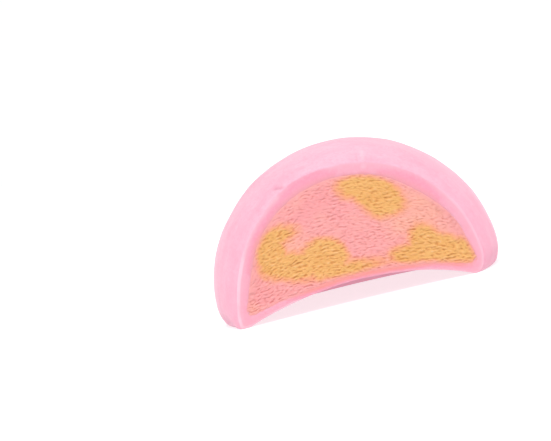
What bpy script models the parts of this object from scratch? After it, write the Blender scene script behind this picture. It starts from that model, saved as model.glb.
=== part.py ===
"""Ice cream mochi with one side sliced off: a soft rice-dough skin round an ice cream filling.

The cake is a turned dome. It stands on a narrow ring, and its underside rises inside the ring
as a shallow arch. One flat slice takes the front off, so the skin and the filling show there.
Units are metres and +Z is up. The origin is the centre of the bounding box at the bottom, the
cut face looks towards -Y, and +X is to the right of someone who looks at the cut.
"""

import math

import bpy

# Outside of the whole cake
DOME_RADIUS = 0.0250
CAKE_HEIGHT = 0.0273
BELLY_HEIGHT = 0.0035  # height of the widest level
CROWN_SHAPE = 1.05  # 1 is an ellipse, more is a slightly steeper crown

# Foot: a rounded lower edge, a flat ring to stand on and the arch inside the ring
RING_OUTER_RADIUS = 0.0236
RING_WIDTH = 0.0010
EDGE_SHAPE = 1.25  # 1 is a quarter ellipse, more is closer to a straight slope
ARCH_HEIGHT = 0.0051
ARCH_SHAPE = 0.75  # 1 is a parabola, less is a flatter roof with steeper ends

# The slice
CUT_OFFSET = 0.0137  # from the dome's axis to the cut face

# Dough and filling
SKIN_WALL = 0.0015
SKIN_FLOOR = 0.00095
FILLING_GAP = 0.0003
CAVITY_CORNER_INSET = 0.0016  # from the ring's outside to the cavity's lowest corner

# Smoothness of the turned shapes
TURN_STEPS = 56
CROWN_SEGMENTS = 12
EDGE_SEGMENTS = 4
ARCH_SEGMENTS = 6
MERGE_DISTANCE = 0.00001

# Derived places
RING_INNER_RADIUS = RING_OUTER_RADIUS - RING_WIDTH
AXIS_Y = (CUT_OFFSET - DOME_RADIUS) / 2
CUTTER_SIZE = 4 * DOME_RADIUS

# Colours are linear RGB
SKIN_COLOUR = (0.991, 0.546, 0.638)
SKIN_ROUGHNESS = 0.85
FILLING_COLOUR = (0.965, 0.407, 0.397)
FILLING_ROUGHNESS = 0.75


def clear_scene():
    """Remove every object that the file starts with."""
    for obj in list(bpy.data.objects):
        bpy.data.objects.remove(obj, do_unlink=True)


def new_collection(name):
    """Make a collection under the scene's own."""
    collection = bpy.data.collections.new(name)
    bpy.context.scene.collection.children.link(collection)
    return collection


def new_material(name, colour, roughness):
    """Make a plain Principled material that isn't metallic."""
    material = bpy.data.materials.new(name)
    material.use_nodes = True
    shader = material.node_tree.nodes["Principled BSDF"]
    shader.inputs["Base Color"].default_value = (*colour, 1.0)
    shader.inputs["Roughness"].default_value = roughness
    shader.inputs["Metallic"].default_value = 0.0
    return material


def arch_level(radius, floor):
    """Height of the arched underside at a radius, raised by a floor thickness."""
    reach = min(radius / RING_INNER_RADIUS, 1.0)
    return floor + ARCH_HEIGHT * (1 - reach**2) ** ARCH_SHAPE


def crown_points(wall):
    """Outline of the crown from the axis down to the widest level, drawn in by a wall."""
    radius = DOME_RADIUS - wall
    rise = CAKE_HEIGHT - BELLY_HEIGHT - wall
    points = []
    for i in range(CROWN_SEGMENTS + 1):
        turn = math.pi / 2 * i / CROWN_SEGMENTS
        height = BELLY_HEIGHT + rise * max(math.cos(turn), 0.0) ** CROWN_SHAPE
        points.append((radius * math.sin(turn), height))
    return points


def edge_points(wall, foot_radius, foot_height):
    """Outline of the rounded lower edge, from below the widest level to the foot."""
    bulge = DOME_RADIUS - wall - foot_radius
    drop = BELLY_HEIGHT - foot_height
    points = []
    for i in range(1, EDGE_SEGMENTS + 1):
        turn = math.pi / 2 * i / EDGE_SEGMENTS
        across = max(math.cos(turn), 0.0) ** EDGE_SHAPE
        down = math.sin(turn) ** EDGE_SHAPE
        points.append((foot_radius + bulge * across, BELLY_HEIGHT - drop * down))
    return points


def arch_points(start_radius, floor):
    """Outline of the arched underside, from its rim in to the axis and closer near the rim."""
    points = []
    for i in range(1, ARCH_SEGMENTS + 1):
        turn = math.pi / 2 * i / ARCH_SEGMENTS
        radius = start_radius * max(math.cos(turn), 0.0)
        if i == ARCH_SEGMENTS:
            radius = 0.0
        points.append((radius, arch_level(radius, floor)))
    return points


def outer_outline():
    """Half section of the whole cake's outside, top to bottom, with the flat ring."""
    ring = [(RING_INNER_RADIUS, 0.0)]
    return (
        crown_points(0.0)
        + edge_points(0.0, RING_OUTER_RADIUS, 0.0)
        + ring
        + arch_points(RING_INNER_RADIUS, 0.0)
    )


def inner_outline(extra):
    """Half section of the space inside the skin, drawn in further by an extra distance."""
    wall = SKIN_WALL + extra
    floor = SKIN_FLOOR + extra
    corner_radius = RING_OUTER_RADIUS - CAVITY_CORNER_INSET - extra
    corner_height = arch_level(corner_radius, floor)
    return (
        crown_points(wall)
        + edge_points(wall, corner_radius, corner_height)
        + arch_points(corner_radius, floor)
    )


def turned_solid(name, outline, collection):
    """Turn a half section about the cake's axis into a closed solid."""
    mesh = bpy.data.meshes.new(name)
    vertices = [(radius, 0.0, height) for radius, height in outline]
    edges = [(i, i + 1) for i in range(len(outline) - 1)]
    mesh.from_pydata(vertices, edges, [])
    solid = bpy.data.objects.new(name, mesh)
    solid.location = (0.0, AXIS_Y, 0.0)
    collection.objects.link(solid)
    screw = solid.modifiers.new("turn", "SCREW")
    screw.axis = "Z"
    screw.angle = 2 * math.pi
    screw.steps = TURN_STEPS
    screw.render_steps = TURN_STEPS
    screw.use_merge_vertices = True
    screw.merge_threshold = MERGE_DISTANCE
    screw.use_smooth_shade = True
    return solid


def as_cutter(obj):
    """Show an object as a wire guide that never renders."""
    obj.display_type = "WIRE"
    obj.hide_render = True
    return obj


def slice_cutter(collection):
    """Make the block that takes the front of the cake off."""
    front = AXIS_Y - CUT_OFFSET
    centre = (0.0, front - CUTTER_SIZE / 2, 0.0)
    bpy.ops.mesh.primitive_cube_add(size=CUTTER_SIZE, location=centre)
    block = bpy.context.object
    block.name = "slice_cutter"
    for owner in list(block.users_collection):
        owner.objects.unlink(block)
    collection.objects.link(block)
    return as_cutter(block)


def cut_away(obj, cutter, name):
    """Take a cutter's volume off an object."""
    cut = obj.modifiers.new(name, "BOOLEAN")
    cut.operation = "DIFFERENCE"
    cut.solver = "EXACT"
    cut.object = cutter


def build():
    """Build the skin and the filling, both open at the cut face."""
    clear_scene()
    cake = new_collection("mochi_rice_cake")
    cutters = new_collection("cutters")
    knife = slice_cutter(cutters)
    cavity = as_cutter(turned_solid("cavity_cutter", inner_outline(0.0), cutters))

    skin = turned_solid("mochi_skin", outer_outline(), cake)
    cut_away(skin, cavity, "hollow")
    cut_away(skin, knife, "slice")
    skin.data.materials.append(new_material("rice_dough", SKIN_COLOUR, SKIN_ROUGHNESS))

    filling = turned_solid("ice_cream", inner_outline(FILLING_GAP), cake)
    cut_away(filling, knife, "slice")
    filling.data.materials.append(new_material("ice_cream", FILLING_COLOUR, FILLING_ROUGHNESS))


build()
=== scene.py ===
"""Looks of a mochi with one side sliced off: soft rice dough round a marbled filling.

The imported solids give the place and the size, and two pieces stand for them. The dough is one
closed sheet that runs from the inside of the skin, over the cut edge, to the outside and the
arched base. The filling has a finely wrinkled cut face and a plain hull behind it.
"""

import logging
import math
from dataclasses import dataclass, replace
from enum import Enum

import bpy
import numpy as np
from mathutils import Matrix, Vector


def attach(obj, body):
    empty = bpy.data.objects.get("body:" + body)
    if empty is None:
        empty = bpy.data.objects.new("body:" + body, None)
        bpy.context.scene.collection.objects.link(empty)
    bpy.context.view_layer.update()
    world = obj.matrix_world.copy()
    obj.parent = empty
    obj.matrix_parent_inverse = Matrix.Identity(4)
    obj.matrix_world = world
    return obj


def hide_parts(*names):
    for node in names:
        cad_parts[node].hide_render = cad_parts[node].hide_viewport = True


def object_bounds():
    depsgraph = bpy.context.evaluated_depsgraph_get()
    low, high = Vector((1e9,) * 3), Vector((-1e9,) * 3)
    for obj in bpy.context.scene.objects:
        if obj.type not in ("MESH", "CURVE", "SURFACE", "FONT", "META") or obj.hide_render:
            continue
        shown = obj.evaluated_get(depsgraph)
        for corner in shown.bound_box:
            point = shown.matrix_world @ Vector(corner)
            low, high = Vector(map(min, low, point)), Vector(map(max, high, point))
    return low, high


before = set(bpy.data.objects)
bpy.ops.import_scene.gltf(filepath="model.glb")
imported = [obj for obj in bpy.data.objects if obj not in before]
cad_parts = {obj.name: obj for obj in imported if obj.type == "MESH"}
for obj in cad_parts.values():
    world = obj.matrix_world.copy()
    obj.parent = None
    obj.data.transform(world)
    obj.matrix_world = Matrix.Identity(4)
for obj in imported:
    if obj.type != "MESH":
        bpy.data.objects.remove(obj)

CAD_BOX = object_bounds()
MM = 0.001
QUARTER_TURN = math.pi / 2
Array = np.ndarray
Colour = tuple[float, ...]
Socket = bpy.types.NodeSocket
log = logging.getLogger("mochi")


class Slot(Enum):
    """The record's material slots."""

    DOUGH = "rice_dough"
    FILLING = "ice_cream"


class Mask(Enum):
    """Values kept on the points of a mesh for its material to read."""

    CRUMB = "crumb"  # 0 on the outside, rising to 1 across the cut dough
    PALE = "pale"  # 1 where the cut dough is pale, -1 where it is deep pink up to its edge
    MARBLING = "marbling"  # 1 in the yellow patches
    WARMTH = "warmth"  # 1 where the pink is most orange
    # Both finishes paint shade in the creases and highlights on the crests and ridges from this mask.
    CREASE = "crease"  # 1 in the deepest creases, below 0 on crests and ridges
    EDGE = "edge"  # 1 where the filling meets the dough


# --- Numbers and noise -----------------------------------------------------------------


def smooth_step(low: float, high: float, value: Array) -> Array:
    """Rise from 0 at low to 1 at high, level at both ends: 3t^2 - 2t^3."""
    t = np.clip((value - low) / (high - low), 0.0, 1.0)
    return t * t * (3 - 2 * t)


def bell(value: Array, middle: float, width: float) -> Array:
    """Bell curve: e to the power of minus the squared distance from the middle, in widths."""
    return np.exp(-(((value - middle) / width) ** 2))


def even_out(share: Array) -> Array:
    """Spread shares of a length so that they bunch at both ends.

    The spacing follows 1 - (1 - 2t)^4, so next to either end it grows in a straight line.
    That suits an outline that leaves its end at a right angle, as a circle does.

    Args:
        share: Even shares from 0 to 1.

    Returns:
        The spread shares, from 0 to 1.
    """
    return (share - (1 - (1 - 2 * share) ** 5) / 10) / 0.8


@dataclass(frozen=True)
class LatticeNoise:
    """Smooth noise in space: random slopes at the corners of a cubic lattice, blended."""

    seed: int
    table_size: int = 256

    def sample(self, points: Array, cell: tuple[float, float, float]) -> Array:
        """Noise at points, about -0.7 to 0.7, for lattice cells of the given size.

        Each corner of a point's cell has a random unit slope. Its share is the slope's dot
        product with the offset from that corner, weighted by 6t^5 - 15t^4 + 10t^3 on each axis.

        Args:
            points: Places in metres, in an array whose last axis is x, y, z.
            cell: Size of a lattice cell along each axis, in millimetres.

        Returns:
            One value for each point.
        """
        random = np.random.default_rng(self.seed)
        slopes = random.normal(size=(self.table_size, 3))
        slopes /= np.linalg.norm(slopes, axis=1, keepdims=True)
        shuffle = random.permutation(self.table_size)
        scaled = points / (np.asarray(cell) * MM)
        corner = np.floor(scaled).astype(int)
        inside = scaled - corner
        blend = inside**3 * (inside * (inside * 6 - 15) + 10)
        total = np.zeros(points.shape[:-1])
        for offset in np.ndindex(2, 2, 2):
            cell_index = (corner + offset) % self.table_size
            pick = shuffle[cell_index[..., 0]]
            pick = shuffle[(pick + cell_index[..., 1]) % self.table_size]
            pick = shuffle[(pick + cell_index[..., 2]) % self.table_size]
            weight = np.prod(np.where(offset, blend, 1 - blend), axis=-1)
            total += weight * np.sum(slopes[pick] * (inside - offset), axis=-1)
        return total


# --- The turned outline ------------------------------------------------------------------


@dataclass(frozen=True)
class Profile:
    """Half section of a turned dome: a crown, a lower edge, and an arched underside."""

    CROWN_STEPS = 600
    EDGE_STEPS = 160
    BASE_STEPS = 400
    FLARE_POWER = 10
    LIFT_POWER = 6

    radius: float
    height: float
    foot_radius: float
    belly_height: float = 3.5 * MM
    crown_power: float = 1.03
    edge_power: float = 1.25
    floor: float = 0.0
    flare: float = 0.0
    corner_lift: float = 0.0
    rounding: float = 0.35 * MM
    arch_height: float = 5.2 * MM
    arch_reach: float = 23.0 * MM
    arch_power: float = 0.85

    def crown(self) -> Array:
        """Radius and height from the top to the belly.

        The radius is the sine of a turn. The height is a power of its cosine, so a power of 1
        gives an ellipse. A flare widens only the lowest part.

        Returns:
            A row of radii and a row of heights.
        """
        turn = np.linspace(0, QUARTER_TURN, self.CROWN_STEPS)
        cosine = np.maximum(np.cos(turn), 0)
        radius = self.radius * np.sin(turn) + self.flare * (1 - cosine) ** self.FLARE_POWER
        rise = self.height - self.belly_height
        return np.stack([radius, self.belly_height + rise * cosine**self.crown_power])

    def edge(self) -> Array:
        """Radius and height from the belly to the foot: powers of a cosine and a sine.

        Returns:
            A row of radii and a row of heights.
        """
        turn = np.linspace(0, QUARTER_TURN, self.EDGE_STEPS)[1:]
        bulge = self.radius + self.flare - self.foot_radius
        drop = self.belly_height - self.arch(np.array(self.foot_radius))
        radius = self.foot_radius + bulge * np.maximum(np.cos(turn), 0) ** self.edge_power
        return np.stack([radius, self.belly_height - drop * np.sin(turn) ** self.edge_power])

    def arch(self, radius: Array) -> Array:
        """Height of the underside: a power of one minus the squared share of the span.

        A floor lifts all of it, and a corner lift thickens it towards the foot.

        Args:
            radius: Distances from the axis.

        Returns:
            A height for each distance.
        """
        reach = np.minimum(radius / self.arch_reach, 1)
        rise = self.arch_height * (1 - reach**2) ** self.arch_power
        lift = self.corner_lift * (radius / self.foot_radius) ** self.LIFT_POWER
        return rise + self.floor + lift

    def outline(self) -> Array:
        """The whole half section, from the top of the axis round to its underside."""
        radius = self.foot_radius * np.cos(np.linspace(0, QUARTER_TURN, self.BASE_STEPS)[1:])
        return np.concatenate([self.crown(), self.edge(), np.stack([radius, self.arch(radius)])], axis=1)


@dataclass(frozen=True)
class CakeShape:
    """Sizes of the cake and of its slice, in metres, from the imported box."""

    radius: float
    height: float
    axis_y: float
    cut_depth: float
    foot_radius: float = 23.4 * MM

    @classmethod
    def from_box(cls, low: Vector, high: Vector) -> "CakeShape":
        """Read the dome's radius, height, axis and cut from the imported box.

        Args:
            low: Lowest corner of the box.
            high: Highest corner of the box.

        Returns:
            The sizes.
        """
        radius = (high.x - low.x) / 2
        axis_y = high.y - radius
        return cls(radius, high.z - low.z, axis_y, axis_y - low.y)

    @property
    def cut(self) -> float:
        """Place of the cut face behind the axis, which is below zero."""
        return -self.cut_depth


class Section:
    """A profile spaced evenly along its length, with its corners softened."""

    SAMPLES = 1800
    BELL_REACH = 3

    def __init__(self, profile: Profile) -> None:
        """Space the profile evenly and blur it along its length with a bell curve.

        Both ends are mirrored across the axis first, so that they stay on it and level. The
        lowest point keeps its height.

        Args:
            profile: The half section to space and soften.
        """
        radii, heights = profile.outline()
        along = np.concatenate([[0], np.cumsum(np.hypot(np.diff(radii), np.diff(heights)))])
        self.length = np.linspace(0, along[-1], self.SAMPLES)
        radii = np.interp(self.length, along, radii)
        heights = np.interp(self.length, along, heights)
        step = self.length[1]
        count = int(self.BELL_REACH * profile.rounding / step) + 1
        weights = np.exp(-0.5 * (np.arange(-count, count + 1) * step / profile.rounding) ** 2)
        weights /= weights.sum()
        head, tail = slice(count, 0, -1), slice(-2, -count - 2, -1)
        self.radii = np.convolve(np.concatenate([-radii[head], radii, -radii[tail]]), weights, "valid")
        self.radii = np.maximum(self.radii, 0)
        soft = np.convolve(np.concatenate([heights[head], heights, heights[tail]]), weights, "valid")
        self.heights = soft - soft.min() + heights.min()
        self.belly = int(np.argmax(self.radii))
        self.foot = int(np.argmin(self.heights))
        self.front = slice(None, self.belly + 1)
        self.back = slice(None, self.belly - 1, -1)

    @property
    def widest(self) -> float:
        """Largest radius."""
        return float(self.radii[self.belly])

    def crown_height(self, radius: Array) -> Array:
        """Height of the crown at a radius."""
        return np.interp(radius, self.radii[self.front], self.heights[self.front])

    def under_height(self, radius: Array) -> Array:
        """Height of the underside at a radius."""
        return np.interp(radius, self.radii[self.back], self.heights[self.back])

    def reach(self, depth: Array) -> tuple[Array, Array]:
        """Lengths at which an upright slice at a depth from the axis starts and ends."""
        near = np.abs(depth)
        return tuple(np.interp(near, self.radii[side], self.length[side]) for side in (self.front, self.back))

    def marks(self, depth: float) -> Array:
        """Find the top, belly, foot and bottom of a slice.

        Args:
            depth: Distance of the slice behind the axis.

        Returns:
            Their shares of the slice's length, from 0 to 1.
        """
        start, end = self.reach(np.array(depth))
        inner = self.length[[self.belly, self.foot]]
        return np.concatenate([[0], (inner - start) / (end - start), [1]])

    def rings(self, depths: Array, around: Array, marks: tuple[Array, Array] | None = None) -> Array:
        """Closed rings where upright slices meet the shape.

        A slice at depth y meets the outline's point of radius r and height h at
        x = the root of r^2 - y^2, on either side.

        Args:
            depths: Distance of each slice behind the axis.
            around: Place round the ring, 0 at the top, 1 at the bottom by +X, 2 at the top by -X.
            marks: Shares of another outline and the shares of this one that go with them.

        Returns:
            Points about the axis, one row of them for each slice.
        """
        start, end = self.reach(depths)
        share = even_out(1 - np.abs(1 - around))
        if marks is not None:
            share = np.interp(share, *marks)
        length = start[:, None] + (end - start)[:, None] * share[None, :]
        radius = np.interp(length, self.length, self.radii)
        height = np.interp(length, self.length, self.heights)
        depth = np.broadcast_to(depths[:, None], length.shape)
        across = np.sign(1 - around) * np.sqrt(np.maximum(radius**2 - depth**2, 0))
        return np.stack([across, depth, height], axis=-1)

    def depths(self, first: float, rows: int) -> Array:
        """Depths of slices from the first one to near the back, even along the dome."""
        turns = np.linspace(math.asin(first / self.widest), QUARTER_TURN, rows + 1)[:-1]
        return self.widest * np.sin(turns)


# --- Meshes from arrays --------------------------------------------------------------------


def grid_faces(index: Array, wrap: bool) -> Array:
    """Four-sided faces between the rows of an index grid.

    Args:
        index: Point numbers, one row for each ring or column of points.
        wrap: Whether the last point of a row joins the first.

    Returns:
        Four point numbers for each face.
    """
    beside = np.roll(index, -1, axis=1)
    faces = np.stack([index[:-1], beside[:-1], beside[1:], index[1:]], axis=-1)
    return (faces if wrap else faces[:, :-1]).reshape(-1, 4)


def point_numbers(grid: Array, first: int = 0) -> Array:
    """Number the points of a grid row by row, from the first number on."""
    return np.arange(first, first + grid[..., 0].size).reshape(grid.shape[:-1])


def fan(tip: int, line: Array, following: Array) -> Array:
    """Three-sided faces from one point to each step of a line of points."""
    return np.stack([np.full(line.size, tip), line, following], axis=-1)


def mesh_object(name: str, points: Array, quads: Array, triangles: Array) -> bpy.types.Object:
    """Make a smooth mesh object from whole arrays.

    Args:
        name: Name of the object and its mesh.
        points: Places in the row frame.
        quads: Four point numbers for each four-sided face.
        triangles: Three point numbers for each three-sided face.

    Returns:
        The object, at the origin.
    """
    mesh = bpy.data.meshes.new(name)
    corners = np.concatenate([quads.ravel(), triangles.ravel()]).astype(np.int32)
    sizes = np.concatenate([np.full(len(quads), 4), np.full(len(triangles), 3)])
    starts = np.concatenate([[0], np.cumsum(sizes)[:-1]]).astype(np.int32)
    mesh.vertices.add(len(points))
    mesh.vertices.foreach_set("co", points.astype(np.float32).ravel())
    mesh.loops.add(len(corners))
    mesh.loops.foreach_set("vertex_index", corners)
    mesh.polygons.add(len(sizes))
    mesh.polygons.foreach_set("loop_start", starts)
    mesh.polygons.foreach_set("use_smooth", np.ones(len(sizes), bool))
    mesh.update(calc_edges=True)
    mesh.validate()
    piece = bpy.data.objects.new(name, mesh)
    bpy.context.scene.collection.objects.link(piece)
    return piece


def keep_mask(piece: bpy.types.Object, mask: Mask, values: Array, rest: Array | list[float]) -> None:
    """Keep one number for each point of a piece under the mask's name.

    Args:
        piece: The piece, whose mesh starts with a grid of points.
        mask: The mask.
        values: Its values on the grid.
        rest: Its values on the points after the grid.
    """
    layer = piece.data.attributes.new(mask.value, "FLOAT", "POINT")
    layer.data.foreach_set("value", np.append(values.ravel(), rest).astype(np.float32))


def grid_normals(grid: Array) -> Array:
    """Unit normals of a grid of closed rings, from the cross product of its two directions.

    Args:
        grid: Rings of points, one row for each ring.

    Returns:
        An outward normal for each point.
    """
    along_ring = np.roll(grid, -1, axis=1) - np.roll(grid, 1, axis=1)
    along_rows = np.gradient(grid, axis=0)
    normal = np.cross(along_ring, along_rows)
    return normal / np.maximum(np.linalg.norm(normal, axis=-1, keepdims=True), 1e-12)


# --- Lobes and folds -------------------------------------------------------------------------


@dataclass(frozen=True)
class Lobe:
    """One soft lobe on the cut face: an ellipse, turned by an angle, in millimetres and degrees."""

    across: float
    height: float
    half_width: float
    half_height: float
    turn_deg: float = 0.0

    def depth_inside(self, across: Array, height: Array) -> Array:
        """Rough distance inside the lobe's outline, below zero outside it.

        Args:
            across: Distances to the right of the cake's axis, in metres.
            height: Heights above the foot, in metres.

        Returns:
            A distance for each place, in metres.
        """
        turn = math.radians(self.turn_deg)
        beside, above = across - self.across * MM, height - self.height * MM
        right = beside * math.cos(turn) + above * math.sin(turn)
        up = above * math.cos(turn) - beside * math.sin(turn)
        reach = np.hypot(right / (self.half_width * MM), up / (self.half_height * MM))
        return (1 - reach) * (min(self.half_width, self.half_height) * MM)


def depth_in(lobes: tuple[Lobe, ...], across: Array, height: Array) -> Array:
    """Distance inside the outline of the deepest of some lobes."""
    return np.max([lobe.depth_inside(across, height) for lobe in lobes], axis=0)


@dataclass(frozen=True)
class Fold:
    """A shallow crease in the dough, or a ridge where the depth is below zero, in millimetres.

    Attributes:
        start: Where it starts, across and behind the cut face.
        end: Where it ends.
        depth: Its depth.
        width: Its width.
        below: How far under the crown it lies.
    """

    STEPS = 32
    END_SHARE = 0.4
    TAPER = 0.25

    start: tuple[float, float]
    end: tuple[float, float]
    depth: float
    width: float
    below: float = 0.0

    def sink(self, points: Array, section: Section, cut: float) -> Array:
        """Depth of the crease at points: a bell curve of the distance from its path.

        The path is straight from above and lies on the crown. The crease is shallower near
        both ends of it.

        Args:
            points: Places about the cake's axis.
            section: Outline of the dome.
            cut: Place of the cut face behind the axis.

        Returns:
            A depth for each point, in metres.
        """
        share = np.linspace(0, 1, self.STEPS)
        start, end = np.array(self.start), np.array(self.end)
        plan = (start + (end - start) * share[:, None]) * MM + [0, cut]
        height = section.crown_height(np.hypot(plan[:, 0], plan[:, 1])) - self.below * MM
        rising, falling = smooth_step(0, self.TAPER, share), smooth_step(1, 1 - self.TAPER, share)
        fullness = self.END_SHARE + (1 - self.END_SHARE) * rising * falling
        deepest = np.zeros(points.shape[:-1])
        for place, full in zip(np.column_stack([plan, height]), fullness):
            away = np.linalg.norm(points - place, axis=-1)
            deepest = np.maximum(deepest, full * bell(away, 0, self.width * MM))
        return self.depth * MM * deepest


# Pale parts of the cut dough: the left corner and side, right of the top, and the right side.
PALE_DOUGH = (
    Lobe(-19.8, 1.4, 3.0, 3.4),
    Lobe(-20.0, 6.0, 2.0, 5.0),
    Lobe(-16.6, 1.7, 4.8, 2.2, 12),
    Lobe(3.9, 21.9, 4.2, 2.2, -12),
    Lobe(20.0, 5.0, 2.4, 6.5, 12),
    Lobe(18.9, 9.6, 1.7, 4.5, 30),
)
# Deep pink parts of the cut dough: left of the top, both shoulders, and below the filling.
DEEP_DOUGH = (
    Lobe(-5.2, 22.4, 5.6, 2.6, 12),
    Lobe(-14.5, 15.6, 0.9, 3.6, -42),
    Lobe(12.8, 17.8, 3.4, 1.4, -40),
    Lobe(-3.0, 4.0, 15.0, 2.2),
)
# Where the thin dough under the filling takes on its orange.
WARM_DOUGH = (Lobe(0.8, 4.2, 13.0, 2.0),)
# Yellow parts of the filling: three lobes at the top, five at the left and four at the right.
YELLOW_FILLING = (
    Lobe(3.2, 18.8, 3.4, 2.0, -8),
    Lobe(5.8, 16.9, 4.8, 2.8, -38),
    Lobe(6.6, 14.9, 2.8, 1.9),
    Lobe(-12.2, 13.8, 3.0, 1.4, 10),
    Lobe(-13.7, 10.9, 2.4, 3.7, -12),
    Lobe(-10.2, 8.2, 5.0, 2.2, -9),
    Lobe(-5.1, 8.5, 3.8, 3.2, -10),
    Lobe(-2.5, 5.8, 5.7, 1.15, -3),
    Lobe(12.1, 6.9, 2.5, 3.2, 14),
    Lobe(14.8, 5.2, 5.2, 2.3, -33),
    Lobe(9.3, 5.7, 3.3, 1.5, -8),
    Lobe(17.8, 4.0, 2.3, 2.1, -35),
)
# Orange parts of the pink: right of the top, over the right patch, in the left bay and corner.
WARM_FILLING = (
    Lobe(12.6, 13.6, 3.2, 4.2, 36),
    Lobe(11.2, 10.2, 5.2, 2.8, -25),
    Lobe(-10.4, 12.0, 2.8, 2.4),
    Lobe(-19.4, 2.2, 1.4, 1.1, 20),
)
# Short creases and ridges by the cut edge, and long faint creases over the back.
FOLDS = (
    Fold((4.1, 0.0), (4.2, 2.2), 0.10, 0.34),
    Fold((4.9, 0.0), (5.3, 3.6), -0.13, 0.45),
    Fold((4.6, 0.0), (5.0, 0.0), -0.10, 0.55, 0.9),
    Fold((6.3, 0.0), (6.5, 1.4), 0.08, 0.32),
    Fold((-8.9, 0.2), (-10.8, 2.0), 0.24, 0.42),
    Fold((-10.0, 0.0), (-12.4, 0.0), -0.09, 0.60, 0.3),
    Fold((-6.6, 0.2), (-7.2, 1.8), 0.09, 0.38),
    Fold((-14.0, 19.7), (-4.0, 27.7), 0.10, 0.8),
    Fold((6.0, 28.7), (13.0, 22.7), 0.10, 0.7),
    Fold((-21.0, 19.7), (-17.0, 28.7), 0.12, 0.9),
    Fold((18.0, 15.7), (22.5, 19.7), 0.10, 0.8),
)
# Lumps of the dough: seed, size of a cell across, behind and up, and height, in millimetres.
LUMPS = (
    (11, (9.0, 9.0, 7.0), 0.22),
    (12, (3.2, 3.2, 2.6), 0.07),
    (13, (0.9, 0.9, 0.9), 0.018),
    (14, (11.0, 1.9, 9.0), 0.07),
)


# --- The dough -----------------------------------------------------------------------------


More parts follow.
